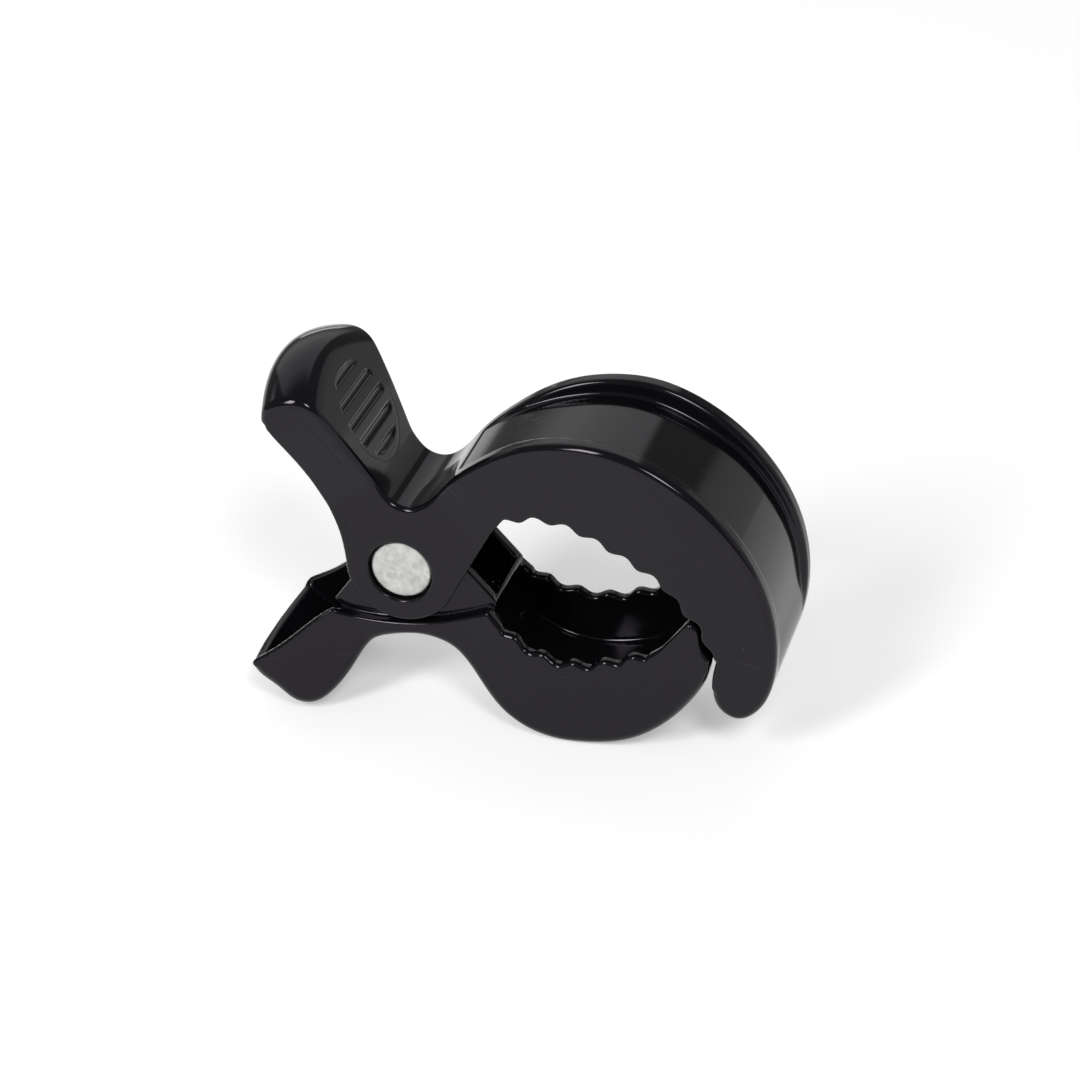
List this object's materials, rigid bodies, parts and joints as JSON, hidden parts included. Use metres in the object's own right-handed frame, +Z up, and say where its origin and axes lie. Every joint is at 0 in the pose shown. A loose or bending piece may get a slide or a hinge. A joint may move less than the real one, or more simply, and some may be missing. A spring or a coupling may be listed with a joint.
{
  "type": "spring clip",
  "caption": "Sprung plastic clip: two crossed levers with thumb handles and curved toothed jaws turn on a pivot pin and are closed by a torsion spring.",
  "frame": {"origin": "under the middle of the clip's box, on the surface that the lower jaw's belly and the lower handle's end stand on", "axes": "+X from the handles to the jaws, +Y along the pivot pin, +Z up"},
  "size_m": [0.112, 0.0338, 0.0781],
  "materials": {
    "black_plastic": "gloss",
    "pale_metal": "satin",
    "spring_steel": "satin"
  },
  "bodies": {
    "lower": {"lower_lever": "black_plastic", "pivot_pin": "pale_metal", "torsion_spring": "spring_steel"},
    "upper": {"upper_lever": "black_plastic"}
  },
  "joints": [
    {"name": "squeeze", "type": "hinge", "parent": "lower", "child": "upper", "pos_m": [-0.0219, 0, 0.03441], "axis": [0, -1, 0], "range_deg": [0, 75], "stiffness_Nm_per_rad": 0.3, "springref_deg": -85.94, "deforming": ["torsion_spring"]}
  ]
}
